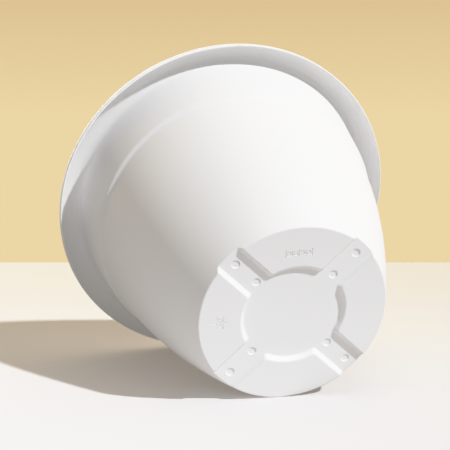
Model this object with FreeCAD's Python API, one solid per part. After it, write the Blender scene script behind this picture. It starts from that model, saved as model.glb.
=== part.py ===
import FreeCAD, Part
import math
import os

# Self watering planter: a moulded pot whose lower part is a water reservoir, with a
# lift-out insert that stands in it.  The insert is a perforated platform on four legs,
# three soil cups that dip into the water, a filling tube with a hinged lid, and a clear
# level gauge with a float.  Units are millimetres, +Z is up, and the origin is on the
# floor under the centre of the pot.

V = FreeCAD.Vector
UP = V(0, 0, 1)
ORIGIN = V(0, 0, 0)

# ---- pot ----
rim_radius = 150.0          # outermost edge of the rim
neck_height = 200.5         # where the collar turns out into the rim
neck_radius = 129.7
step_height = 151.0         # ledge between body and collar
step_radius = 123.2
step_width = 3.0            # how far the collar stands proud of the body
base_radius = 75.3
pot_wall = 2.8
low_lean = 23.5             # degrees of the body's side from upright, at the base
high_lean = 7.5             # and just under the ledge
rim_cove_radius = 12.0      # underside of the rolled rim
rim_cove_turn = 90.0        # degrees that the rim rolls over
neck_fillet = 6.5           # height of the turn from collar to rim
lip_thickness = 1.8         # the rim thins towards its lip
step_rise = 2.2             # how far the ledge climbs across its width
step_edge_radius = 2.6      # along both edges of the ledge

# ---- base: four feet around a round recess with four channels running out of it ----
recess_depth = 3.4
hub_radius = 39.2           # round recess in the middle, at its floor
channel_width = 19.6        # at its floor
foot_draft = 2.8            # how far a foot's wall leans back over the recess depth
foot_corner_radius = 3.2
foot_wall_radius = 1.5      # where a foot's wall meets its face and the recess's floor
foot_edge_radius = 1.2      # round the outside of the base
drill_mark_radius = 3.5
drill_mark_depth = 0.8
drill_mark_hub_gap = 4.0    # from the hub's edge to the middle of the inner marks
drill_mark_edge_gap = 8.3   # from the base's edge to the middle of the outer marks
mark_depth = 0.35           # generic moulded marks on two of the feet
mark_pitch = 5.2
mark_line_width = 1.1
mark_row_inset = 5.0        # from the middle of a foot's face towards the hub

# ---- platform ----
reservoir_depth = 48.0
platform_gap = 0.8          # between platform and pot
platform_thickness = 2.5
skirt_height = 9.0
skirt_wall = 2.0
rib_height = 6.0
rib_width = 2.0
rib_count = 8
seepage_hole_radius = 2.4
seepage_ring_pitch = 9.0
seepage_hole_pitch = 10.5
seepage_margin = 2.0        # material left between a seepage hole and anything else
drop_in_clearance = 0.4     # round a piece that drops through the platform
push_clearance = 0.05       # between pieces that push together

# ---- legs ----
leg_radius = 8.0
leg_wall = 2.0
leg_slot_width = 5.0
leg_slot_height = 9.0
spigot_length = 8.0
spigot_wall = 1.8

# ---- soil cups ----
cup_wall = 1.8
cup_flange_width = 3.5
cup_flange_thickness = 2.0
cup_floor_gap = 1.0         # between a cup's bottom and the highest part of the pot's floor
centre_cup_radius = 20.0
centre_cup_foot_radius = 15.5
side_cup_radius = 18.5
side_cup_foot_radius = 14.5
cup_spacing = 4.5           # between the flanges of neighbouring cups
cup_slot_width = 2.6
cup_slot_count = 10
cup_slot_margin = 5.0
cup_floor_hole_radius = 2.0

# ---- filling tube ----
tube_wall_gap = 3.0         # between the tubes' lower ends and the pot's side
fill_radius = 14.0
fill_wall = 2.0
fill_top_height = 184.0
tube_collar_width = 4.0
tube_collar_thickness = 2.5
mouth_flare = 3.0
mouth_thickness = 3.0
strainer_wall = 1.8
strainer_length = 22.0
strainer_overlap = 9.0
strainer_slot_count = 12
strainer_slot_width = 2.4
strainer_hole_radius = 1.6

# ---- filling lid and its hinge ----
lid_thickness = 2.4
lid_plug_height = 3.0
lid_plug_wall = 1.6
lid_plug_clearance = 0.5
lid_tab_length = 6.0
lid_tab_width = 12.0
hinge_pin_radius = 1.25
hinge_running_clearance = 0.08
knuckle_wall = 1.6
knuckle_width = 13.0
knuckle_gap = 0.35          # between knuckle and mouth
ear_width = 4.0
ear_gap = 0.4
pin_head_radius = 2.2
pin_head_length = 1.2
pin_end_gap = 0.1

# ---- level gauge ----
gauge_radius = 8.0
gauge_wall = 1.2
gauge_top_height = 192.0
gauge_foot_wall = 1.6
gauge_foot_length = 14.0
gauge_foot_overlap = 8.0
gauge_foot_floor = 2.0
gauge_foot_slot_count = 6
gauge_foot_slot_width = 2.4
gauge_foot_hole_radius = 1.5
float_clearance = 0.6
float_length = 20.0
float_travel = 30.0
float_edge_radius = 1.2
rod_radius = 1.5
rod_seat_depth = 12.0
marker_radius = 3.4
marker_length = 12.0
marker_grip = 9.0
marker_headroom = 4.0       # under the cap with the float at its highest
marker_edge_radius = 1.0
guide_height = 120.0        # middle of the rod's guide
guide_length = 5.0
guide_clearance = 0.5
cap_wall = 1.6
cap_skirt = 10.0
cap_crown = 3.0
cap_clearance = 0.3
cap_edge_radius = 1.5
cap_flute_count = 16
cap_flute_radius = 0.9

# ---- heights and radii that follow from the sizes above ----
pot_floor = recess_depth + pot_wall
platform_base = pot_floor + reservoir_depth
platform_top = platform_base + platform_thickness
insert_bottom = pot_floor + cup_floor_gap
body_top_radius = step_radius - step_width
fill_bore = fill_radius - fill_wall
gauge_bore = gauge_radius - gauge_wall
drill_mark_rings = (hub_radius + drill_mark_hub_gap, base_radius - drill_mark_edge_gap)
leg_circle = sum(drill_mark_rings) / 2.0
side_cup_offset = centre_cup_radius + side_cup_radius + 2.0 * cup_flange_width + cup_spacing
side_cups = {"left": -side_cup_offset, "right": side_cup_offset}
strainer_radius = fill_radius + push_clearance + strainer_wall
gauge_foot_radius = gauge_radius + push_clearance + gauge_foot_wall


# ---- shape helpers ----
def cylinder(radius, bottom, top, x=0.0, y=0.0):
    return Part.makeCylinder(radius, top - bottom, V(x, y, bottom), UP)


def ring(outer, inner, bottom, top, x=0.0, y=0.0):
    return cylinder(outer, bottom, top, x, y).cut(cylinder(inner, bottom, top, x, y))


def cone(bottom_radius, top_radius, bottom, top, x=0.0, y=0.0):
    return Part.makeCone(bottom_radius, top_radius, top - bottom, V(x, y, bottom), UP)


def block(x_low, x_high, y_low, y_high, bottom, top):
    corner = V(x_low, y_low, bottom)
    return Part.makeBox(x_high - x_low, y_high - y_low, top - bottom, corner)


def rod_along_x(radius, x_low, x_high, y, z):
    return Part.makeCylinder(radius, x_high - x_low, V(x_low, y, z), V(1, 0, 0))


def around(shape, count, x=0.0, y=0.0, start=0.0):
    copies = []
    for k in range(count):
        copy = shape.copy()
        copy.rotate(V(x, y, 0), UP, start + 360.0 * k / count)
        copies.append(copy)
    return copies


def line(a, b):
    return Part.LineSegment(a, b).toShape()


def arc(a, middle, b):
    return Part.Arc(a, middle, b).toShape()


def revolved(edges):
    return Part.Face(Part.Wire(edges)).revolve(ORIGIN, UP, 360)


def polar(radius, degrees, height=0.0):
    angle = math.radians(degrees)
    return V(radius * math.cos(angle), radius * math.sin(angle), height)


def level_edges(shape, height):
    """The edges that lie flat at a height."""
    return [e for e in shape.Edges if abs(e.BoundBox.ZMin - height) < 1e-4
            and abs(e.BoundBox.ZMax - height) < 1e-4]


def rounded_rims(shape, radius, heights):
    """Fillets the circular edges that lie flat at the given heights, outermost only."""
    edges = []
    for height in heights:
        flat = level_edges(shape, height)
        reach = max(e.BoundBox.XLength for e in flat)
        edges += [e for e in flat if e.BoundBox.XLength > reach - 1e-3]
    return shape.makeFillet(radius, edges)


# ---- pot ----
def body_curve(inset):
    """The body's side from base to ledge in half section, moved inwards by inset."""
    handle = step_height / 3.0
    low = V(base_radius, 0, 0)
    high = V(body_top_radius, 0, step_height)
    poles = [
        low,
        low + V(handle * math.tan(math.radians(low_lean)), 0, handle),
        high - V(handle * math.tan(math.radians(high_lean)), 0, handle),
        high,
    ]
    moved = []
    for k, pole in enumerate(poles):
        lean = math.radians(low_lean + (high_lean - low_lean) * k / 3.0)
        moved.append(pole + V(-inset * math.cos(lean), 0, inset * math.sin(lean)))
    curve = Part.BezierCurve()
    curve.setPoles(moved)
    return curve


def body_point(inset, height):
    """Parameter and point of the body's side at a height."""
    curve = body_curve(inset)
    low, high = 0.0, 1.0
    for _ in range(60):
        middle = (low + high) / 2.0
        if curve.value(middle).z < height:
            low = middle
        else:
            high = middle
    return low, curve.value(low)


def rim_points(top_radius, lip_radius):
    """Three points of a rim skin: at its top, half way and at the lip."""
    points = []
    for share in (0.0, 0.5, 1.0):
        angle = math.radians(share * rim_cove_turn)
        radius = top_radius + share * (lip_radius - top_radius)
        points.append(rim_centre + V(radius * math.sin(angle), 0, radius * math.cos(angle)))
    return points


lip_turn = math.radians(rim_cove_turn)
lip_reach = rim_cove_radius + lip_thickness
rim_centre = V(rim_radius - lip_reach, 0, neck_height + neck_fillet - rim_cove_radius)
pot_height = rim_centre.z + rim_cove_radius + pot_wall


def quarter_turn(start, end):
    """An elliptic-looking corner that leaves start upright and meets end level."""
    curve = Part.BezierCurve()
    swing = 0.55
    curve.setPoles([
        start,
        V(start.x, 0, start.z + swing * (end.z - start.z)),
        V(end.x - swing * (end.x - start.x), 0, end.z),
        end,
    ])
    return curve.toShape()


def outer_lump():
    """The pot filled solid: its outer skin, closed across the top."""
    side = body_curve(0.0)
    ledge_inner = side.value(1.0)
    ledge_outer = V(step_radius, 0, step_height + step_rise)
    neck = V(neck_radius, 0, neck_height)
    under_top, under_middle, under_lip = rim_points(rim_cove_radius, rim_cove_radius)
    over_top, over_middle, over_lip = rim_points(
        rim_cove_radius + pot_wall, rim_cove_radius + lip_thickness)
    outwards = V(math.cos(lip_turn), 0, -math.sin(lip_turn))
    lip_end = (under_lip + over_lip) * 0.5 + outwards * lip_thickness / 2.0
    centre_top = V(0, 0, pot_height)
    lump = revolved([
        line(ORIGIN, side.value(0.0)),
        side.toShape(),
        line(ledge_inner, ledge_outer),
        line(ledge_outer, neck),
        quarter_turn(neck, under_top),
        arc(under_top, under_middle, under_lip),
        arc(under_lip, lip_end, over_lip),
        arc(over_lip, over_middle, over_top),
        line(over_top, centre_top),
        line(centre_top, ORIGIN),
    ])
    edges = level_edges(lump, step_height) + level_edges(lump, step_height + step_rise)
    return lump.makeFillet(step_edge_radius, edges)


def inner_lump():
    """The pot's inside down to the floors of the pockets behind the feet."""
    side = body_curve(pot_wall)
    first, low = body_point(pot_wall, pot_wall)
    ledge = V(step_radius - pot_wall, 0, step_height + step_rise + pot_wall / 2.0)
    neck = V(neck_radius - pot_wall, 0, neck_height)
    crest = V(rim_centre.x, 0, pot_height)
    above = V(crest.x, 0, pot_height + 1.0)
    above_centre = V(0, 0, above.z)
    floor_centre = V(0, 0, pot_wall)
    return revolved([
        line(floor_centre, low),
        Part.Edge(side, first, 1.0),
        line(side.value(1.0), ledge),
        line(ledge, neck),
        quarter_turn(neck, crest),
        line(crest, above),
        line(above, above_centre),
        line(above_centre, floor_centre),
    ])


def foot_outline(setback, height):
    """Plan of the foot on +X at a height.  Its walls stand back by setback from where
    they meet the recess's floor."""
    half = channel_width / 2.0 + setback
    inner = hub_radius + setback
    corner = foot_corner_radius
    outer = base_radius + 40.0
    centre = V(math.sqrt((inner + corner) ** 2 - (half + corner) ** 2), -half - corner, 0)
    on_line = V(centre.x, -half, 0)
    on_arc = centre * (inner / (inner + corner))
    bulge = (on_line - centre).normalize() + (on_arc - centre).normalize()
    middle = centre + bulge.normalize() * corner
    far = V(math.sqrt(outer ** 2 - half ** 2), -half, 0)
    spin = FreeCAD.Rotation(UP, 45.0)

    def left(point):
        spun = spin.multVec(point)
        return V(spun.x, spun.y, height)

    def right(point):
        spun = spin.multVec(point)
        return V(spun.x, -spun.y, height)

    return Part.Wire([
        arc(left(on_arc), V(inner, 0, height), right(on_arc)),
        arc(right(on_arc), right(middle), right(on_line)),
        line(right(on_line), right(far)),
        arc(right(far), V(outer, 0, height), left(far)),
        line(left(far), left(on_line)),
        arc(left(on_line), left(middle), left(on_arc)),
    ])


def between_feet(inset, lift, bottom, top):
    """A slab with four foot-shaped openings, whose drafted walls stand back by inset.
    lift is the height of the feet's faces."""
    lean = foot_draft / recess_depth
    margin = 1.0
    outlines = []
    for height in (bottom - margin, top + margin):
        outlines.append(foot_outline(inset + foot_draft - lean * (height - lift), height))
    feet = around(Part.makeLoft(outlines, True, True), 4)
    return cylinder(rim_radius, bottom, top).cut(feet)


def drill_marks():
    """Shallow round marks in the channels that show where drain holes may be drilled."""
    marks = []
    narrow = drill_mark_radius - drill_mark_depth / 2.0
    top = recess_depth + drill_mark_depth
    for quarter in range(4):
        for radius in drill_mark_rings:
            at = polar(radius, 45.0 + 90.0 * quarter)
            marks.append(cone(drill_mark_radius, narrow, recess_depth, top, at.x, at.y))
    return marks


def moulded_marks():
    """Generic marks: a row of bars and rings on one foot, a star of bars on another."""
    middle = (hub_radius + foot_draft + base_radius) / 2.0 - mark_row_inset
    half_line = mark_line_width / 2.0
    star_reach = 1.15 * mark_pitch
    ring_outer = 0.37 * mark_pitch
    marks = []
    for k in range(-2, 3):
        x = k * mark_pitch
        half = (0.38 if k % 2 else 0.62) * mark_pitch
        low, high = middle - half, middle + half
        marks.append(block(x - half_line, x + half_line, low, high, 0, mark_depth))
    for k in range(-2, 2):
        x = (k + 0.5) * mark_pitch
        marks.append(ring(ring_outer, ring_outer - 0.8 * mark_line_width, 0, mark_depth, x, middle))
    at = middle + mark_row_inset
    bar = block(at - star_reach, at + star_reach, -half_line, half_line, 0, mark_depth)
    star = around(bar, 3, at)
    star.append(ring(0.6 * star_reach, 0.6 * star_reach - mark_line_width, 0, mark_depth, at))
    marks.append(star[0].multiFuse(star[1:]))
    return marks


def on_outside(edge):
    """Whether a level edge of the base runs along its outside."""
    middle = edge.valueAt((edge.FirstParameter + edge.LastParameter) / 2.0)
    return math.hypot(middle.x, middle.y) > base_radius - 1e-3


def planter_pot():
    recess = between_feet(0.0, 0.0, -1.0, recess_depth)
    solid = outer_lump().cut(recess)
    walls = [e for height in (0.0, recess_depth) for e in level_edges(solid, height)
             if not on_outside(e)]
    solid = solid.makeFillet(foot_wall_radius, walls)
    outside = [e for e in level_edges(solid, 0.0) if on_outside(e)]
    solid = solid.makeFillet(foot_edge_radius, outside)
    raised_floor = between_feet(pot_wall, pot_wall, pot_wall - 1.0, pot_floor)
    inside = inner_lump().cut(raised_floor)
    return solid.cut(inside).cut(drill_marks() + moulded_marks())


# ---- platform and what stands through it ----
inner_radius_low = body_point(pot_wall, insert_bottom)[1].x
fill_offset = inner_radius_low - tube_wall_gap - strainer_radius
gauge_offset = inner_radius_low - tube_wall_gap - gauge_foot_radius


def leg_places():
    return [polar(leg_circle, 45.0 + 90.0 * k) for k in range(4)]


def cup_places():
    places = [(0.0, 0.0, centre_cup_radius)]
    places += [(x, 0.0, side_cup_radius) for x in side_cups.values()]
    return places


def tube_places():
    return [(0.0, fill_offset, fill_radius), (0.0, -gauge_offset, gauge_radius)]


def seepage_holes(edge_radius):
    """Small holes in rings over the free area of the platform."""
    taken = [(x, y, r + cup_flange_width) for x, y, r in cup_places()]
    taken += [(x, y, r + tube_collar_width) for x, y, r in tube_places()]
    taken += [(p.x, p.y, leg_radius) for p in leg_places()]
    room = seepage_hole_radius + seepage_margin
    rib_room = seepage_hole_radius + rib_width / 2.0 + 0.6
    holes = []
    radius = edge_radius - skirt_wall - room
    while radius > centre_cup_radius:
        count = int(2 * math.pi * radius / seepage_hole_pitch)
        for k in range(count):
            degrees = 360.0 * k / count
            at = polar(radius, degrees)
            clear = all(math.hypot(at.x - x, at.y - y) > r + room for x, y, r in taken)
            off_rib = min(abs((degrees - rib_angle(j) + 180.0) % 360.0 - 180.0)
                          for j in range(rib_count))
            beside_rib = radius * math.sin(math.radians(min(off_rib, 90.0))) > rib_room
            if clear and beside_rib:
                bottom = platform_base - 1.0
                holes.append(cylinder(seepage_hole_radius, bottom, platform_top + 1.0, at.x, at.y))
        radius -= seepage_ring_pitch
    return holes


def rib_angle(k):
    return 360.0 * (k + 0.5) / rib_count


def separator_platform():
    edge_radius = body_point(pot_wall, platform_base)[1].x - platform_gap
    plate = cylinder(edge_radius, platform_base, platform_top)
    skirt_top = platform_base + skirt_height
    skirt = ring(edge_radius, edge_radius - skirt_wall, platform_base, skirt_top)
    rib_bottom = platform_base - rib_height
    rib = block(0, edge_radius - 12.0, -rib_width / 2, rib_width / 2, rib_bottom, platform_base)
    ribs = around(rib, rib_count, start=rib_angle(0))
    hoop = ring(edge_radius - 12.0, edge_radius - 12.0 - rib_width, rib_bottom, platform_base)
    spigot_radius = leg_radius - leg_wall - push_clearance
    spigots = []
    for p in leg_places():
        low = platform_base - spigot_length
        spigots.append(ring(spigot_radius, spigot_radius - spigot_wall, low, platform_base, p.x, p.y))
    through = []
    for x, y, r in cup_places() + tube_places():
        top = platform_top + 1.0
        through.append(cylinder(r + drop_in_clearance, platform_base - 1.0, top, x, y))
        through.append(cylinder(r + 2.5, rib_bottom - 1.0, platform_base, x, y))
    for p in leg_places():
        through.append(cylinder(leg_radius + 1.0, rib_bottom - 1.0, platform_base, p.x, p.y))
    webs = hoop.multiFuse(ribs).cut(through)
    base = plate.multiFuse([skirt]).cut(through + seepage_holes(edge_radius))
    return base.multiFuse([webs] + spigots)


def support_leg(place):
    x, y = place.x, place.y
    leg = ring(leg_radius, leg_radius - leg_wall, pot_floor, platform_base, x, y)
    half = leg_slot_width / 2.0
    slot = block(x, x + leg_radius + 1.0, y - half, y + half, pot_floor - 1.0,
                 pot_floor + leg_slot_height)
    return leg.cut(around(slot, 4, x, y))


def soil_cup(x, radius, foot_radius):
    floor = insert_bottom + cup_wall
    top = platform_top + cup_flange_thickness
    lean = (radius - foot_radius) / (platform_top - insert_bottom)
    inner_top = radius - cup_wall + lean * cup_flange_thickness
    outer = cone(foot_radius, radius, insert_bottom, platform_top, x)
    flange = cylinder(radius + cup_flange_width, platform_top, top, x)
    inner = cone(foot_radius - cup_wall, inner_top, floor, top, x)
    cup = outer.fuse(flange).cut(inner)
    slot_low = floor + cup_slot_margin
    slot_high = platform_base - cup_slot_margin - rib_height
    slot_middle = (slot_low + slot_high) / 2.0
    half = cup_slot_width / 2.0
    cuts = []
    for low, high, start in ((slot_low, slot_middle - 2.0, 0.0), (slot_middle + 2.0, slot_high, 18.0)):
        slot = block(x, x + radius + 1.0, -half, half, low, high)
        cuts += around(slot, cup_slot_count, x, 0.0, start)
    hole = cylinder(cup_floor_hole_radius, insert_bottom - 1.0, floor + 1.0, x + foot_radius * 0.55)
    cuts += around(hole, 6, x, 0.0)
    cuts.append(cylinder(cup_floor_hole_radius, insert_bottom - 1.0, floor + 1.0, x))
    return cup.cut(cuts)


# ---- filling tube ----
strainer_top = insert_bottom + strainer_length
hinge_y = fill_offset + fill_radius + mouth_flare + knuckle_gap + hinge_pin_radius + knuckle_wall
hinge_z = fill_top_height + lid_thickness / 2.0
knuckle_radius = hinge_pin_radius + knuckle_wall
hinge_bore = hinge_pin_radius + hinge_running_clearance
ear_inner = knuckle_width / 2.0 + ear_gap
ear_outer = ear_inner + ear_width


def fill_tube():
    bottom = strainer_top - strainer_overlap
    y = fill_offset
    mouth_bottom = fill_top_height - mouth_thickness
    mouth_radius = fill_radius + mouth_flare
    tube = cylinder(fill_radius, bottom, fill_top_height, 0.0, y)
    collar_top = platform_top + tube_collar_thickness
    collar = cylinder(fill_radius + tube_collar_width, platform_top, collar_top, 0.0, y)
    mouth = cylinder(mouth_radius, mouth_bottom, fill_top_height, 0.0, y)
    flare = cone(fill_radius, mouth_radius, mouth_bottom - mouth_flare, mouth_bottom, 0.0, y)
    ears = []
    for side in (-1, 1):
        low, high = sorted((side * ear_inner, side * ear_outer))
        arm = block(low, high, y + fill_bore, hinge_y, mouth_bottom, fill_top_height)
        post = block(low, high, hinge_y - knuckle_radius, hinge_y + knuckle_radius,
                     mouth_bottom, hinge_z)
        ears += [arm, post, rod_along_x(knuckle_radius, low, high, hinge_y, hinge_z)]
    solid = tube.multiFuse([collar, mouth, flare] + ears)
    solid = solid.cut(cylinder(fill_bore, bottom - 1.0, fill_top_height + 1.0, 0.0, y))
    return solid.cut(rod_along_x(hinge_bore, -ear_outer - 1.0, ear_outer + 1.0, hinge_y, hinge_z))


def fill_strainer():
    y = fill_offset
    bore = fill_radius + push_clearance
    outer = cylinder(strainer_radius, insert_bottom, strainer_top, 0.0, y)
    seat = strainer_top - strainer_overlap
    hollow = cylinder(bore, seat, strainer_top + 1.0, 0.0, y)
    lower = cylinder(fill_bore, insert_bottom + strainer_wall, seat, 0.0, y)
    cup = outer.cut([hollow, lower])
    half = strainer_slot_width / 2.0
    slot = block(0, strainer_radius + 1.0, y - half, y + half,
                 insert_bottom + strainer_wall, seat - 1.5)
    hole = cylinder(strainer_hole_radius, insert_bottom - 1.0, insert_bottom + strainer_wall + 1.0,
                    fill_bore * 0.6, y)
    return cup.cut(around(slot, strainer_slot_count, 0.0, y) + around(hole, 8, 0.0, y))


def fill_lid():
    y = fill_offset
    top = fill_top_height + lid_thickness
    radius = fill_radius + mouth_flare
    disc = cylinder(radius, fill_top_height, top, 0.0, y)
    half_tab = lid_tab_width / 2.0
    tab = block(-half_tab, half_tab, y - radius - lid_tab_length, y - radius + 4.0,
                fill_top_height, top)
    corners = [e for e in tab.Edges if e.BoundBox.ZLength > 1.0 and e.BoundBox.YMax < y - radius]
    tab = tab.makeFillet(4.0, corners)
    half_web = knuckle_width / 2.0
    web = block(-half_web, half_web, y + fill_bore, hinge_y, fill_top_height, top)
    knuckle = rod_along_x(knuckle_radius, -half_web, half_web, hinge_y, hinge_z)
    plug_radius = fill_bore - lid_plug_clearance
    plug = ring(plug_radius, plug_radius - lid_plug_wall, fill_top_height - lid_plug_height,
                fill_top_height, 0.0, y)
    solid = disc.multiFuse([tab, web, knuckle, plug]).removeSplitter()
    bore = rod_along_x(hinge_bore, -half_web - 1.0, half_web + 1.0, hinge_y, hinge_z)
    return solid.cut(bore)


def lid_hinge_pin():
    end = ear_outer + pin_end_gap
    pin = rod_along_x(hinge_pin_radius, -end, end, hinge_y, hinge_z)
    heads = []
    for low in (-end - pin_head_length, end):
        heads.append(rod_along_x(pin_head_radius, low, low + pin_head_length, hinge_y, hinge_z))
    return pin.multiFuse(heads)


# ---- level gauge ----
gauge_foot_top = insert_bottom + gauge_foot_length
gauge_tube_bottom = gauge_foot_top - gauge_foot_overlap
float_bottom = insert_bottom + gauge_foot_floor
float_top = float_bottom + float_length
marker_top = gauge_top_height - float_travel - marker_headroom
marker_bottom = marker_top - marker_length


def gauge_tube():
    y = -gauge_offset
    tube = cylinder(gauge_radius, gauge_tube_bottom, gauge_top_height, 0.0, y)
    collar_top = platform_top + tube_collar_thickness
    collar = cylinder(gauge_radius + tube_collar_width, platform_top, collar_top, 0.0, y)
    bore = cylinder(gauge_bore, gauge_tube_bottom - 1.0, gauge_top_height + 1.0, 0.0, y)
    return tube.fuse(collar).cut(bore)


def gauge_foot():
    y = -gauge_offset
    bore = gauge_radius + push_clearance
    outer = cylinder(gauge_foot_radius, insert_bottom, gauge_foot_top, 0.0, y)
    socket = cylinder(bore, gauge_tube_bottom, gauge_foot_top + 1.0, 0.0, y)
    hollow = cylinder(gauge_bore, float_bottom, gauge_tube_bottom, 0.0, y)
    cup = outer.cut([socket, hollow])
    half = gauge_foot_slot_width / 2.0
    slot = block(0, gauge_foot_radius + 1.0, y - half, y + half,
                 float_bottom, gauge_tube_bottom - 0.8)
    hole = cylinder(gauge_foot_hole_radius, insert_bottom - 1.0, float_bottom + 1.0, 0.0, y)
    return cup.cut(around(slot, gauge_foot_slot_count, 0.0, y) + [hole])


def gauge_float():
    y = -gauge_offset
    radius = gauge_bore - float_clearance
    body = cylinder(radius, float_bottom, float_top, 0.0, y)
    body = rounded_rims(body, float_edge_radius, (float_bottom, float_top))
    seat = cylinder(rod_radius + push_clearance, float_top - rod_seat_depth, float_top + 1.0, 0.0, y)
    return body.cut(seat)


def gauge_rod():
    rod_top = marker_bottom + marker_grip
    return cylinder(rod_radius, float_top - rod_seat_depth, rod_top, 0.0, -gauge_offset)


def gauge_marker():
    y = -gauge_offset
    body = cylinder(marker_radius, marker_bottom, marker_top, 0.0, y)
    body = rounded_rims(body, marker_edge_radius, (marker_bottom, marker_top))
    grip = cylinder(rod_radius + push_clearance, marker_bottom - 1.0, marker_bottom + marker_grip,
                    0.0, y)
    return body.cut(grip)


def gauge_guide():
    low = guide_height - guide_length / 2.0
    return ring(gauge_bore - push_clearance, rod_radius + guide_clearance, low,
                low + guide_length, 0.0, -gauge_offset)


def gauge_cap():
    y = -gauge_offset
    bore = gauge_radius + cap_clearance
    outer_radius = bore + cap_wall
    low = gauge_top_height - cap_skirt
    top = gauge_top_height + cap_crown + cap_wall
    body = cylinder(outer_radius, low, top, 0.0, y)
    body = rounded_rims(body, cap_edge_radius, (top,))
    skirt = cylinder(bore, low - 1.0, gauge_top_height, 0.0, y)
    headroom = cylinder(gauge_bore, gauge_top_height, gauge_top_height + cap_crown, 0.0, y)
    flute = cylinder(cap_flute_radius, low - 1.0, top - cap_edge_radius - cap_flute_radius,
                     outer_radius + cap_flute_radius * 0.4, y)
    return body.cut([skirt, headroom] + around(flute, cap_flute_count, 0.0, y))


def save(name, shape):
    shape = shape.removeSplitter()
    assert shape.isValid(), name
    shape.exportStep("parts/" + name + ".step")
    print(name, "solids", len(shape.Solids), "volume", round(shape.Volume, 1))


os.makedirs("parts", exist_ok=True)
save("planter_pot", planter_pot())
save("separator_platform", separator_platform())
for number, place in enumerate(leg_places(), start=1):
    save("support_leg_" + str(number), support_leg(place))
save("soil_cup_centre", soil_cup(0.0, centre_cup_radius, centre_cup_foot_radius))
for side, offset in side_cups.items():
    save("soil_cup_" + side, soil_cup(offset, side_cup_radius, side_cup_foot_radius))
save("fill_tube", fill_tube())
save("fill_strainer", fill_strainer())
save("fill_lid", fill_lid())
save("lid_hinge_pin", lid_hinge_pin())
save("gauge_tube", gauge_tube())
save("gauge_foot", gauge_foot())
save("gauge_guide", gauge_guide())
save("gauge_float", gauge_float())
save("gauge_rod", gauge_rod())
save("gauge_marker", gauge_marker())
save("gauge_cap", gauge_cap())
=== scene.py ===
import bpy
import math
from mathutils import Matrix, Vector


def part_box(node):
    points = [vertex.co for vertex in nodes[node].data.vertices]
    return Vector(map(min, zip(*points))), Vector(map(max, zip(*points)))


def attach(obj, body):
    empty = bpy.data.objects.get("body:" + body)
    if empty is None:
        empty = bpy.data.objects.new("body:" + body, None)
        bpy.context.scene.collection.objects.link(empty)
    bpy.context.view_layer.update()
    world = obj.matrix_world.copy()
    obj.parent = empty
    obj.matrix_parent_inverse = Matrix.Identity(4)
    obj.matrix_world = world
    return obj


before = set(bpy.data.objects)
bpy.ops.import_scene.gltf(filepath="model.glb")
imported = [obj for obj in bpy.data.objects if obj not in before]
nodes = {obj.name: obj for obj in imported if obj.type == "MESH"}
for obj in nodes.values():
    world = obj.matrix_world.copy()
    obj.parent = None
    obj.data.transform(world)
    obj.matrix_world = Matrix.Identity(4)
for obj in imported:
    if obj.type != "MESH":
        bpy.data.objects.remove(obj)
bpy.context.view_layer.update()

# The pot: one injection moulding in matte white polypropylene, gated in the middle of
# its base.  Feet, channels, drilling marks, ledge and rolled rim are all in the one tool.
POT_WHITE = (0.885, 0.885, 0.885)
POT_SHADE = tuple(0.965 * channel for channel in POT_WHITE)
POT_ROUGHNESS = 0.5
POT_GRAIN_DEPTH = 0.00004
POT_SINK_DEPTH = 0.00012
FOOT_FACE_BAND = (0.00005, 0.0006)
PLASTIC_IOR = 1.49


class Value:
    """A number that changes over a surface.  Sums on it add Math nodes to its finish."""

    def __init__(self, finish, socket):
        self.finish = finish
        self.socket = socket

    def math(self, operation, *others):
        return self.finish.node("Math", {"operation": operation}, {
            k: value for k, value in enumerate(others)})

    def __add__(self, other):
        return self.math("ADD", self, other)

    __radd__ = __add__

    def __sub__(self, other):
        return self.math("SUBTRACT", self, other)

    def __rsub__(self, other):
        return self.math("SUBTRACT", other, self)

    def __mul__(self, other):
        return self.math("MULTIPLY", self, other)

    __rmul__ = __mul__

    def band(self, low, high):
        """0 below low, 1 above high, smooth between."""
        return self.finish.node("MapRange", {"interpolation_type": "SMOOTHSTEP"}, {
            "Value": self, "From Min": low, "From Max": high})


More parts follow.
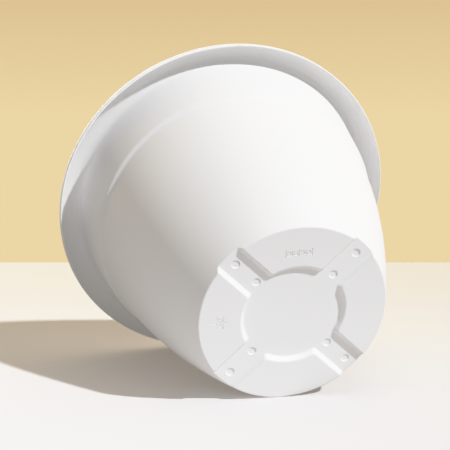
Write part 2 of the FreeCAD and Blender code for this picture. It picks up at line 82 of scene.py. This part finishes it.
class Finish:
    """A material's nodes.  node() adds any one and gives back one of its outputs."""

    def __init__(self, name):
        self.material = bpy.data.materials.new(name)
        self.material.use_nodes = True
        self.tree = self.material.node_tree
        self.tree.nodes.clear()
        self.place = self.node("TexCoord", output="Object")

    def node(self, kind, settings=None, sockets=None, output=0):
        made = self.tree.nodes.new("ShaderNode" + kind)
        for key, value in (settings or {}).items():
            setattr(made, key, value)
        for key, value in (sockets or {}).items():
            if isinstance(value, Value):
                self.tree.links.new(value.socket, made.inputs[key])
            elif value is not None:
                made.inputs[key].default_value = value
        return Value(self, made.outputs[output])

    def axis(self, name):
        return self.node("SeparateXYZ", None, {"Vector": self.place}, name)

    def noise(self, scale, detail=2.0, roughness=0.5, stretch=(1.0, 1.0, 1.0), kind="Noise"):
        vector = self.place
        if stretch != (1.0, 1.0, 1.0):
            vector = self.node("Mapping", None, {"Vector": self.place, "Scale": stretch})
        if kind == "Voronoi":
            return self.node("TexVoronoi", None, {"Vector": vector, "Scale": scale})
        return self.node("TexNoise", None, {
            "Vector": vector, "Scale": scale, "Detail": detail, "Roughness": roughness})

    def tint(self, factor, low, high):
        """Colour that goes from low to high with factor."""
        return self.node("Mix", {"data_type": "RGBA"}, {
            0: factor, 6: as_rgba(low), 7: as_rgba(high)}, 2)

    def bump(self, height, depth, strength, under=None):
        """Surface relief of a height in metres, on top of the relief under it."""
        return self.node("Bump", None, {
            "Height": height, "Distance": depth, "Strength": strength, "Normal": under})

    def shader(self, **sockets):
        """Ends the material in a Principled surface and gives the material back."""
        named = {key.replace("_", " "): value for key, value in sockets.items()}
        surface = self.node("BsdfPrincipled", None, named)
        self.node_out(surface)
        return self.material

    def node_out(self, surface):
        out = self.tree.nodes.new("ShaderNodeOutputMaterial")
        self.tree.links.new(surface.socket, out.inputs["Surface"])


def as_rgba(colour):
    return colour if isinstance(colour, Value) else (*colour, 1.0)


def finish_nodes(material, *names):
    for name in names:
        for slot in nodes[name].material_slots:
            slot.material = material


def pot_finish():
    made = Finish("pot white")
    cloud = made.noise(9.0, 3.0)
    grain = made.noise(2600.0, 2.0, 0.6)
    sink = made.noise(38.0, 1.0)
    on_foot_face = 1.0 - made.axis("Z").band(*FOOT_FACE_BAND)
    scuff = made.noise(420.0, 4.0, 0.7, (1.0, 0.25, 1.0)).band(0.52, 0.7) * on_foot_face
    shade = cloud.band(0.3, 0.7) * 0.5 + scuff * 0.35
    return made.shader(
        Base_Color=made.tint(shade, POT_WHITE, POT_SHADE),
        Roughness=POT_ROUGHNESS + cloud * 0.08 + scuff * 0.12,
        IOR=PLASTIC_IOR,
        Normal=made.bump(grain, POT_GRAIN_DEPTH, 0.5, made.bump(sink, POT_SINK_DEPTH, 0.35)),
    )


finish_nodes(pot_finish(), "planter_pot")

# The insert: platform, legs, soil cups, strainer, gauge foot and rod guide, moulded in black
# recycled polypropylene.  The legs push on to spigots, the cups hang by their flanges.
INSERT_BLACK = (0.045, 0.046, 0.05)
INSERT_GREY = (0.085, 0.086, 0.09)
INSERT_ROUGHNESS = 0.42
INSERT_GRAIN_DEPTH = 0.00006
INSERT_FLOW_DEPTH = 0.0002
LIME_WHITE = (0.42, 0.41, 0.38)
LIME_COVER = 0.22
WET_BELOW_PLATFORM = 0.012
WET_UP_PLATFORM = 0.004
INSERT_NODES = [name for name in nodes if name.startswith(("support_leg", "soil_cup"))]
INSERT_NODES += ["separator_platform", "fill_strainer", "gauge_foot", "gauge_guide"]


def insert_finish():
    made = Finish("insert black")
    platform_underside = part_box("separator_platform")[0][2]
    flow = made.noise(26.0, 4.0, 0.62, (1.0, 1.0, 0.35))
    fleck = made.noise(900.0, 3.0, 0.7).band(0.66, 0.74)
    texture = made.noise(1500.0, 3.0, 0.65)
    wet = 1.0 - made.axis("Z").band(
        platform_underside - WET_BELOW_PLATFORM, platform_underside + WET_UP_PLATFORM)
    lime = made.noise(150.0, 5.0, 0.7).band(0.56, 0.78) * wet
    plastic = made.tint(flow.band(0.3, 0.7) * 0.6 + fleck * 0.4, INSERT_BLACK, INSERT_GREY)
    return made.shader(
        Base_Color=made.tint(lime * LIME_COVER, plastic, LIME_WHITE),
        Roughness=INSERT_ROUGHNESS + flow * 0.14 + lime * 0.25,
        IOR=PLASTIC_IOR,
        Normal=made.bump(
            texture, INSERT_GRAIN_DEPTH, 0.6, made.bump(flow, INSERT_FLOW_DEPTH, 0.3)),
    )


finish_nodes(insert_finish(), *INSERT_NODES)

# The filling tube: satin grey polypropylene with faint draw lines along it, a flared mouth,
# a collar that sits on the platform, and two ears that carry the lid's pin.
TUBE_GREY = (0.30, 0.31, 0.32)
TUBE_PALE = (0.36, 0.37, 0.38)
TUBE_ROUGHNESS = 0.33
TUBE_LINE_DEPTH = 0.00005
TUBE_GRAIN_DEPTH = 0.00002


def tube_finish():
    made = Finish("tube grey")
    lines = made.noise(650.0, 2.0, 0.6, (1.0, 1.0, 0.012))
    cloud = made.noise(22.0, 3.0)
    grain = made.noise(1900.0, 2.0)
    rub = made.noise(90.0, 5.0, 0.7, (1.0, 1.0, 0.2)).band(0.58, 0.74)
    return made.shader(
        Base_Color=made.tint(cloud.band(0.3, 0.7) * 0.5 + lines * 0.3 + rub * 0.2,
                             TUBE_GREY, TUBE_PALE),
        Roughness=TUBE_ROUGHNESS + lines * 0.1 + rub * 0.16,
        IOR=PLASTIC_IOR,
        Normal=made.bump(lines, TUBE_LINE_DEPTH, 0.5, made.bump(grain, TUBE_GRAIN_DEPTH, 0.4)),
    )


finish_nodes(tube_finish(), "fill_tube")

# The filling lid and the gauge's cap: both moulded in one satin white plastic, with faint
# rings that the turned faces of their moulds leave on them.
LID_WHITE = (0.74, 0.74, 0.73)
LID_SHADE = (0.66, 0.655, 0.63)
LID_ROUGHNESS = 0.36
LID_RINGS = 9000.0
LID_RING_WOBBLE = 2.0
LID_RING_DEPTH = 0.00001
LID_GRAIN_DEPTH = 0.00002


def lid_finish(name, centre):
    made = Finish(name)
    across = made.node("Mapping", {"vector_type": "POINT"}, {
        "Vector": made.place, "Location": (-centre[0], -centre[1], 0.0), "Scale": (1, 1, 0)})
    radius = made.node("VectorMath", {"operation": "LENGTH"}, {0: across}, "Value")
    wobble = made.noise(60.0, 2.0)
    turn = radius * LID_RINGS + wobble * LID_RING_WOBBLE
    rings = made.node("Math", {"operation": "SINE"}, {0: turn})
    dust = made.noise(240.0, 5.0, 0.7).band(0.5, 0.72)
    grain = made.noise(2100.0, 2.0)
    return made.shader(
        Base_Color=made.tint(dust * 0.5 + wobble * 0.2, LID_WHITE, LID_SHADE),
        Roughness=LID_ROUGHNESS + dust * 0.16 + rings * 0.03,
        IOR=PLASTIC_IOR,
        Normal=made.bump(rings, LID_RING_DEPTH, 0.35, made.bump(grain, LID_GRAIN_DEPTH, 0.5)),
    )


def middle_of(name):
    low_corner, high_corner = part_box(name)
    return [(a + b) / 2.0 for a, b in zip(low_corner, high_corner)]


finish_nodes(lid_finish("lid white", middle_of("fill_strainer")), "fill_lid")
finish_nodes(lid_finish("cap white", middle_of("gauge_cap")), "gauge_cap")

# The lid's grip: short round-topped ribs moulded across the tab, for a wet thumb.
# They are grown in a row and joined to the lid's top face.
GRIP_COUNT = 4
GRIP_PITCH = 0.0016
GRIP_RADIUS = 0.00055
GRIP_LENGTH = 0.0085
GRIP_SETBACK = 0.0012
GRIP_STATIONS = 9
GRIP_SIDES = 14
GRIP_END_SIZE = 0.25
GRIP_END_SHARE = 0.12
LID_FACE_DROP = 0.00165


class Growth:
    """A Geometry Nodes tree.  add() puts in a node and gives back one of its outputs."""

    def __init__(self, name, sizes):
        self.tree = bpy.data.node_groups.new(name, "GeometryNodeTree")
        self.tree.interface.new_socket(
            "Geometry", in_out="OUTPUT", socket_type="NodeSocketGeometry")
        self.identifiers = {}
        for label, value in sizes.items():
            kind = "NodeSocketInt" if isinstance(value, int) else "NodeSocketFloat"
            socket = self.tree.interface.new_socket(label, in_out="INPUT", socket_type=kind)
            self.identifiers[label] = socket.identifier
        self.sizes = self.tree.nodes.new("NodeGroupInput")
        self.given = sizes
        self.name = name

    def add(self, kind, settings=None, sockets=None, output=0):
        made = self.tree.nodes.new(kind)
        for key, value in (settings or {}).items():
            setattr(made, key, value)
        for key, value in (sockets or {}).items():
            if isinstance(value, bpy.types.NodeSocket):
                self.tree.links.new(value, made.inputs[key])
            elif isinstance(value, str):
                self.tree.links.new(self.sizes.outputs[value], made.inputs[key])
            else:
                made.inputs[key].default_value = value
        return made.outputs[output]

    def piece(self, geometry, material, body):
        """Closes the tree, turns it into a plain mesh and makes that ride on a body."""
        solid = self.add("GeometryNodeRealizeInstances", None, {"Geometry": geometry})
        painted = self.add("GeometryNodeSetMaterial", None, {
            "Geometry": solid, "Material": material})
        end = self.tree.nodes.new("NodeGroupOutput")
        self.tree.links.new(painted, end.inputs[0])
        carrier = bpy.data.objects.new(self.name + "_carrier", bpy.data.meshes.new(self.name))
        bpy.context.scene.collection.objects.link(carrier)
        modifier = carrier.modifiers.new("growth", "NODES")
        modifier.node_group = self.tree
        for label, value in self.given.items():
            modifier[self.identifiers[label]] = value
        evaluated = carrier.evaluated_get(bpy.context.evaluated_depsgraph_get())
        mesh = bpy.data.meshes.new_from_object(evaluated)
        mesh.materials.clear()
        mesh.materials.append(material)
        bpy.data.objects.remove(carrier)
        made = bpy.data.objects.new(self.name, mesh)
        bpy.context.scene.collection.objects.link(made)
        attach(made, body)


def grip_ribs():
    lid_low, lid_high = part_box("fill_lid")
    growth = Growth("lid_grip", {
        "Count": GRIP_COUNT, "Pitch": GRIP_PITCH, "Radius": GRIP_RADIUS, "Length": GRIP_LENGTH})
    half = growth.add("ShaderNodeMath", {"operation": "MULTIPLY"}, {0: "Length", 1: 0.5})
    minus_half = growth.add("ShaderNodeMath", {"operation": "MULTIPLY"}, {0: "Length", 1: -0.5})
    start = growth.add("ShaderNodeCombineXYZ", None, {0: minus_half})
    end = growth.add("ShaderNodeCombineXYZ", None, {0: half})
    spine = growth.add("GeometryNodeCurvePrimitiveLine", None, {"Start": start, "End": end})
    spine = growth.add("GeometryNodeResampleCurve", None, {
        "Curve": spine, "Count": GRIP_STATIONS})
    along = growth.add("GeometryNodeSplineParameter")
    taper = growth.add("ShaderNodeFloatCurve", None, {"Value": along})
    curve = taper.node.mapping.curves[0]
    curve.points[0].location = (0.0, GRIP_END_SIZE)
    curve.points[1].location = (1.0, GRIP_END_SIZE)
    curve.points.new(GRIP_END_SHARE, 1.0)
    curve.points.new(1.0 - GRIP_END_SHARE, 1.0)
    taper.node.mapping.update()
    section = growth.add("GeometryNodeCurvePrimitiveCircle", None, {
        "Resolution": GRIP_SIDES, "Radius": "Radius"})
    rib = growth.add("GeometryNodeCurveToMesh", None, {
        "Curve": spine, "Profile Curve": section, "Fill Caps": True, "Scale": taper})
    step = growth.add("ShaderNodeCombineXYZ", None, {1: "Pitch"})
    first = (0.0, lid_low[1] + GRIP_SETBACK, lid_high[2] - LID_FACE_DROP)
    row = growth.add("GeometryNodeMeshLine", {"mode": "OFFSET"}, {
        "Count": "Count", "Start Location": first, "Offset": step})
    ribs = growth.add("GeometryNodeInstanceOnPoints", None, {"Points": row, "Instance": rib})
    growth.piece(ribs, nodes["fill_lid"].material_slots[0].material, "lid")


grip_ribs()

# The hinge pin: bright drawn stainless wire through the tube's ears and the lid's knuckle,
# with a head formed on each end.
STEEL = (0.62, 0.61, 0.59)
STEEL_DULL = (0.50, 0.49, 0.47)
STEEL_ROUGHNESS = 0.2
STEEL_LINE_DEPTH = 0.000008


def pin_finish():
    made = Finish("drawn steel")
    draw = made.noise(5200.0, 2.0, 0.6, (0.02, 1.0, 1.0))
    stain = made.noise(600.0, 3.0).band(0.5, 0.75)
    return made.shader(
        Base_Color=made.tint(draw * 0.5 + stain * 0.4, STEEL, STEEL_DULL),
        Roughness=STEEL_ROUGHNESS + draw * 0.16 + stain * 0.12,
        Metallic=1.0,
        Normal=made.bump(draw, STEEL_LINE_DEPTH, 0.5),
    )


finish_nodes(pin_finish(), "lid_hinge_pin")

# The level gauge's tube: clear extruded acrylic, faintly hazed and scratched along its
# length.  Its collar sits on the platform, and its foot pushes on from below.
CLEAR_TINT = (0.93, 0.97, 0.965)
CLEAR_SHADE = tuple(0.96 * channel for channel in CLEAR_TINT)
CLEAR_ROUGHNESS = 0.03
CLEAR_IOR = 1.49
SCRATCH_DEPTH = 0.00001


def clear_finish():
    made = Finish("clear acrylic")
    scratch = made.noise(1300.0, 3.0, 0.7, (1.0, 1.0, 0.05)).band(0.55, 0.8)
    haze = made.noise(40.0, 3.0)
    return made.shader(
        Base_Color=made.tint(haze, CLEAR_TINT, CLEAR_SHADE),
        Roughness=CLEAR_ROUGHNESS + haze * 0.05 + scratch * 0.12,
        IOR=CLEAR_IOR,
        Transmission_Weight=1.0,
        Normal=made.bump(scratch, SCRATCH_DEPTH, 0.4),
    )


finish_nodes(clear_finish(), "gauge_tube")

# The gauge's scale: fine raised rings round the tube where the marker shows, every third
# one bolder.  They are screen-printed in black with a slight build.
SCALE_COUNT = 10
SCALE_PITCH = 0.004
SCALE_LINE = 0.00022
SCALE_BOLD = 0.0004
SCALE_BOLD_EVERY = 3.0
SCALE_STAND_OFF = 0.00125
SCALE_BELOW_MARKER = 0.002
SCALE_RING_SIDES = 72
SCALE_LINE_SIDES = 8
SCALE_BLACK = (0.02, 0.02, 0.022)
SCALE_WORN = (0.06, 0.06, 0.062)
INK_ROUGHNESS = 0.35
INK_WEAR_DEPTH = 0.00001


def ink_finish():
    made = Finish("scale ink")
    worn = made.noise(1400.0, 4.0, 0.7).band(0.55, 0.75)
    return made.shader(
        Base_Color=made.tint(worn, SCALE_BLACK, SCALE_WORN),
        Roughness=INK_ROUGHNESS + worn * 0.25,
        Normal=made.bump(worn, INK_WEAR_DEPTH, 0.5),
    )


def gauge_scale():
    guide_low, guide_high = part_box("gauge_guide")
    marker_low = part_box("gauge_marker")[0]
    centre = middle_of("gauge_guide")
    tube_radius = (guide_high[0] - guide_low[0]) / 2.0 + SCALE_STAND_OFF
    growth = Growth("gauge_scale", {
        "Count": SCALE_COUNT, "Pitch": SCALE_PITCH, "Radius": tube_radius,
        "Line": SCALE_LINE, "Bold Line": SCALE_BOLD})
    circle = growth.add("GeometryNodeCurvePrimitiveCircle", None, {
        "Resolution": SCALE_RING_SIDES, "Radius": "Radius"})
    rings = []
    for line in ("Line", "Bold Line"):
        section = growth.add("GeometryNodeCurvePrimitiveCircle", None, {
            "Resolution": SCALE_LINE_SIDES, "Radius": line})
        rings.append(growth.add("GeometryNodeCurveToMesh", None, {
            "Curve": circle, "Profile Curve": section}))
    both = growth.add("GeometryNodeGeometryToInstance")
    for ring in reversed(rings):
        growth.tree.links.new(ring, both.node.inputs[0])
    step = growth.add("ShaderNodeCombineXYZ", None, {2: "Pitch"})
    first = (centre[0], centre[1], marker_low[2] - SCALE_BELOW_MARKER)
    row = growth.add("GeometryNodeMeshLine", {"mode": "OFFSET"}, {
        "Count": "Count", "Start Location": first, "Offset": step})
    index = growth.add("GeometryNodeInputIndex")
    place = growth.add("ShaderNodeMath", {"operation": "MODULO"}, {
        0: index, 1: SCALE_BOLD_EVERY})
    is_bold = growth.add("ShaderNodeMath", {"operation": "LESS_THAN"}, {0: place, 1: 0.5})
    scale = growth.add("GeometryNodeInstanceOnPoints", None, {
        "Points": row, "Instance": both, "Pick Instance": True, "Instance Index": is_bold})
    growth.piece(scale, ink_finish(), "insert")


gauge_scale()

# The float and what it carries: a closed-cell foam float, a white rod pushed into it and a
# red marker pushed on the rod's top, which shows the water's level in the clear tube.
FOAM_CREAM = (0.74, 0.71, 0.62)
FOAM_SHADE = (0.60, 0.57, 0.48)
ROD_WHITE = (0.70, 0.70, 0.68)
ROD_SHADE = (0.62, 0.62, 0.60)
MARKER_RED = (0.62, 0.022, 0.015)
MARKER_DEEP = (0.48, 0.015, 0.012)
FOAM_ROUGHNESS = 0.72
FOAM_CELL_DEPTH = 0.0002
ROD_ROUGHNESS = 0.35
ROD_LINE_DEPTH = 0.00002
MARKER_ROUGHNESS = 0.16
MARKER_IOR = 1.5
MARKER_GRAIN_DEPTH = 0.00001


def foam_finish():
    made = Finish("float foam")
    cell = made.noise(1300.0, kind="Voronoi")
    damp = made.noise(60.0, 4.0).band(0.35, 0.7)
    return made.shader(
        Base_Color=made.tint(cell * 0.45 + damp * 0.4, FOAM_CREAM, FOAM_SHADE),
        Roughness=FOAM_ROUGHNESS + cell * 0.15,
        Normal=made.bump(cell, FOAM_CELL_DEPTH, 0.7),
    )


def rod_finish():
    made = Finish("rod white")
    lines = made.noise(2400.0, 2.0, 0.6, (1.0, 1.0, 0.01))
    grime = made.noise(120.0, 4.0).band(0.45, 0.75)
    return made.shader(
        Base_Color=made.tint(lines * 0.3 + grime * 0.5, ROD_WHITE, ROD_SHADE),
        Roughness=ROD_ROUGHNESS + lines * 0.12 + grime * 0.1,
        IOR=PLASTIC_IOR,
        Normal=made.bump(lines, ROD_LINE_DEPTH, 0.5),
    )


def marker_finish():
    made = Finish("marker red")
    swirl = made.noise(180.0, 3.0, 0.6)
    fine = made.noise(2400.0, 2.0)
    return made.shader(
        Base_Color=made.tint(swirl.band(0.35, 0.7), MARKER_RED, MARKER_DEEP),
        Roughness=MARKER_ROUGHNESS + swirl * 0.12,
        IOR=MARKER_IOR,
        Normal=made.bump(fine, MARKER_GRAIN_DEPTH, 0.4),
    )


finish_nodes(foam_finish(), "gauge_float")
finish_nodes(rod_finish(), "gauge_rod")
finish_nodes(marker_finish(), "gauge_marker")

# The stage: a pale tabletop that the pot lies over on its side, and a second pale floor
# under the pot for when it is looked at standing up.  Each is seen from its top only.
TABLE_UP = Vector((-0.058, 0.932, 0.358)).normalized()
TABLE_POINT = Vector((0.00465, -0.07515, 0.0))
TABLE_BACK = 0.786
TABLE_FRONT = 0.24
TABLE_SIDE = 2.2
FLOOR_DROP = 0.0004
FLOOR_REACH = 3.0
TABLE_WHITE = (0.74, 0.735, 0.755)
# The warm colour at the table's back is painted bounce light from the backdrop, not a paint
# colour.
TABLE_PAINTED_BOUNCE = (0.70, 0.64, 0.545)
TABLE_PAINTED_BOUNCE_FROM = -0.25
TABLE_ROUGHNESS = 0.6
TABLE_MOTTLE = 0.05
camera_back = Vector((0.25621183, 0.45451897, -0.8530932)).normalized()


def stage_finish(name, away):
    """Pale paint, with painted warm bounce light towards the back of the table, seen from its
    upper side only.
    """
    made = Finish(name)
    distance = made.node("VectorMath", {"operation": "DOT_PRODUCT"}, {
        0: made.place, 1: tuple(away)}, "Value")
    mottle = (made.noise(900.0, 2.0) - 0.5) * TABLE_MOTTLE
    # Painted warm bounce light: the colour warms from near the pot towards the table's back.
    painted_bounce = distance.band(TABLE_PAINTED_BOUNCE_FROM, TABLE_BACK) + mottle
    lit = made.node("BsdfDiffuse", None, {
        "Color": made.tint(painted_bounce, TABLE_WHITE, TABLE_PAINTED_BOUNCE), "Roughness": TABLE_ROUGHNESS})
    made.node_out(made.node("MixShader", None, {
        0: made.node("NewGeometry", None, None, "Backfacing"),
        1: lit,
        2: made.node("BsdfTransparent")}))
    return made.material


def stage_floor(name, corners, up, material):
    """A flat stage piece that faces up and leaves the lighting of the pot alone."""
    if (corners[1] - corners[0]).cross(corners[2] - corners[1]).dot(up) < 0:
        corners = corners[::-1]
    mesh = bpy.data.meshes.new(name)
    mesh.from_pydata([tuple(c) for c in corners], [], [range(len(corners))])
    mesh.materials.append(material)
    floor = bpy.data.objects.new(name, mesh)
    bpy.context.scene.collection.objects.link(floor)
    for kind in ("diffuse", "glossy", "transmission", "shadow", "volume_scatter"):
        setattr(floor, "visible_" + kind, False)
    return floor


table_right = TABLE_UP.cross(camera_back).normalized()
table_away = TABLE_UP.cross(table_right).normalized()
if table_away.dot(camera_back) > 0:
    table_away = -table_away
pale = stage_finish("pale table", table_away)
table = stage_floor("stage_table", [
    TABLE_POINT + table_away * along + table_right * across
    for along, across in (
        (-TABLE_FRONT, -TABLE_SIDE), (-TABLE_FRONT, TABLE_SIDE),
        (TABLE_BACK, TABLE_SIDE), (TABLE_BACK, -TABLE_SIDE))
], TABLE_UP, pale)
stage_floor("stage_floor", [
    Vector((x * FLOOR_REACH, y * FLOOR_REACH, -FLOOR_DROP))
    for x, y in ((-1, -1), (1, -1), (1, 1), (-1, 1))
], Vector((0, 0, 1)), pale)

# The studio: a hard key lamp low on the left, a soft one over the pot's mouth, a warm fill
# for the tabletop alone, a broad lamp that throws the tabletop's light back on the pot, and
# a warm pale backdrop that lifts the shadows.
KEY_TURN = math.radians(122.0)
KEY_DIP = math.radians(21.0)
KEY_STRENGTH = 2.95
KEY_SPREAD = 2.4
KEY_COLOUR = (0.95, 0.965, 1.0)
TOP_TOWARDS = Vector((0.1, -0.1, 1.0))
TOP_STRENGTH = 1.6
TOP_SPREAD = 30.0
TOP_COLOUR = (1.0, 0.98, 0.95)
TABLE_FILL = 0.45
TABLE_FILL_COLOUR = (1.0, 0.88, 0.66)
BOUNCE_RADIANCE = 0.46
BOUNCE_WIDE = 1.0
BOUNCE_DEEP = 0.26
BOUNCE_COLOUR = (0.97, 0.965, 1.0)
BACKDROP_LOW = (0.86, 0.66, 0.38)
BACKDROP_HIGH = (0.67, 0.50, 0.27)
FILL_UNDER = (0.335, 0.31, 0.28)
FILL_FRONT = (0.365, 0.365, 0.37)
FILL_BACK = (1.0, 0.82, 0.57)
UNDER_BAND = (-0.05, 0.1)
BACK_BAND = (-0.5, 0.7)
BACKDROP_BAND = (-0.01, 0.115)


def sun_lamp(name, towards, strength, spread, colour):
    light = bpy.data.lights.new(name, "SUN")
    light.energy = strength
    light.angle = math.radians(spread)
    light.color = colour
    lamp = bpy.data.objects.new(name, light)
    bpy.context.scene.collection.objects.link(lamp)
    lamp.matrix_world = towards.to_track_quat("Z", "Y").to_matrix().to_4x4()
    return lamp


key_towards = Vector((
    math.cos(KEY_TURN) * math.cos(KEY_DIP), math.sin(KEY_TURN) * math.cos(KEY_DIP),
    -math.sin(KEY_DIP)))
sun_lamp("key", key_towards, KEY_STRENGTH, KEY_SPREAD, KEY_COLOUR)
top_lamp = sun_lamp("top", TOP_TOWARDS, TOP_STRENGTH, TOP_SPREAD, TOP_COLOUR)
table_lamp = sun_lamp("table fill", TABLE_UP, TABLE_FILL, TOP_SPREAD, TABLE_FILL_COLOUR)
table_lamp.data.use_shadow = False
for lamp, state in ((top_lamp, "EXCLUDE"), (table_lamp, "INCLUDE")):
    receivers = bpy.data.collections.new(lamp.name + " receivers")
    receivers.objects.link(table)
    lamp.light_linking.receiver_collection = receivers
    receivers.collection_objects[0].light_linking.link_state = state

bounce = bpy.data.lights.new("table bounce", "AREA")
bounce.shape = "RECTANGLE"
bounce.size = BOUNCE_WIDE
bounce.size_y = BOUNCE_DEEP
bounce.energy = BOUNCE_RADIANCE * math.pi * BOUNCE_WIDE * BOUNCE_DEEP
bounce.color = BOUNCE_COLOUR
bounce_lamp = bpy.data.objects.new("table bounce", bounce)
bpy.context.scene.collection.objects.link(bounce_lamp)
bounce_lamp.visible_camera = False
bounce_at = Matrix.Translation(TABLE_POINT - table_away * BOUNCE_DEEP / 2.0)
bounce_lamp.matrix_world = bounce_at @ Matrix((
    table_right, -TABLE_UP.cross(table_right), -TABLE_UP)).transposed().to_4x4()

world = bpy.data.worlds.new("studio")
scene = bpy.context.scene
scene.world = world
world.use_nodes = True
world_tree = world.node_tree
world_tree.nodes.clear()


def world_node(kind, settings=None, sockets=None, output=0):
    made = world_tree.nodes.new("ShaderNode" + kind)
    for setting, value in (settings or {}).items():
        setattr(made, setting, value)
    for socket, value in (sockets or {}).items():
        if isinstance(value, bpy.types.NodeSocket):
            world_tree.links.new(value, made.inputs[socket])
        else:
            made.inputs[socket].default_value = value
    return made.outputs[output]


def share_along(axis):
    """How far the way looked in goes along an axis, from -1 to 1."""
    return world_node("VectorMath", {"operation": "DOT_PRODUCT"}, {
        0: direction, 1: tuple(axis)}, "Value")


def band(share, low, high, curve):
    return world_node("MapRange", {"interpolation_type": curve}, {
        "Value": share, "From Min": low, "From Max": high})


def world_mix(factor, low, high):
    """Colour that goes from low to high with factor."""
    low, high = ((*colour, 1.0) if isinstance(colour, tuple) else colour
                 for colour in (low, high))
    return world_node("Mix", {"data_type": "RGBA"}, {0: factor, 6: low, 7: high}, 2)


direction = world_node("TexCoord", output="Generated")
height = share_along(TABLE_UP)
depth = share_along(table_away)
over = world_mix(band(depth, *BACK_BAND, "SMOOTHSTEP"), FILL_FRONT, FILL_BACK)
fill = world_mix(band(height, *UNDER_BAND, "SMOOTHSTEP"), FILL_UNDER, over)
seen = world_mix(band(height, *BACKDROP_BAND, "LINEAR"), BACKDROP_LOW, BACKDROP_HIGH)
sky = world_mix(world_node("LightPath", output="Is Camera Ray"), fill, seen)
background = world_node("Background", None, {"Color": sky})
world_out = world_tree.nodes.new("ShaderNodeOutputWorld")
world_tree.links.new(background, world_out.inputs["Surface"])

# The camera: a long lens just above the tabletop, turned to the pot's base.  The curve
# after it is a soft shoulder that keeps the brightest whites from burning out.
CAMERA_AT = Vector((0.27313, 0.46399, -0.71571))
FOCAL_LENGTH = 93.62
SENSOR = 36.0
SHOULDER_WHITE = 2.0
SHOULDER = ((0.2, 0.40), (0.4, 0.79), (0.5, 0.91), (0.6, 0.96), (0.75, 0.985))
camera_right = Vector((-0.96287624, 0.04240118, -0.26659238))
camera_up = Vector((-0.08499914, 0.88972729, 0.4485092))

lens = bpy.data.cameras.new("camera")
lens.lens = FOCAL_LENGTH
lens.sensor_width = SENSOR
lens.clip_end = 20.0
camera = bpy.data.objects.new("camera", lens)
scene.collection.objects.link(camera)
camera.matrix_world = Matrix.Translation(CAMERA_AT) @ Matrix((
    camera_right, camera_up, camera_back)).transposed().to_4x4()
scene.camera = camera
scene.view_settings.view_transform = "Standard"
scene.view_settings.use_curve_mapping = True
grading = scene.view_settings.curve_mapping
grading.white_level = (SHOULDER_WHITE,) * 3
for given, shown in SHOULDER:
    grading.curves[3].points.new(given, shown)
grading.update()
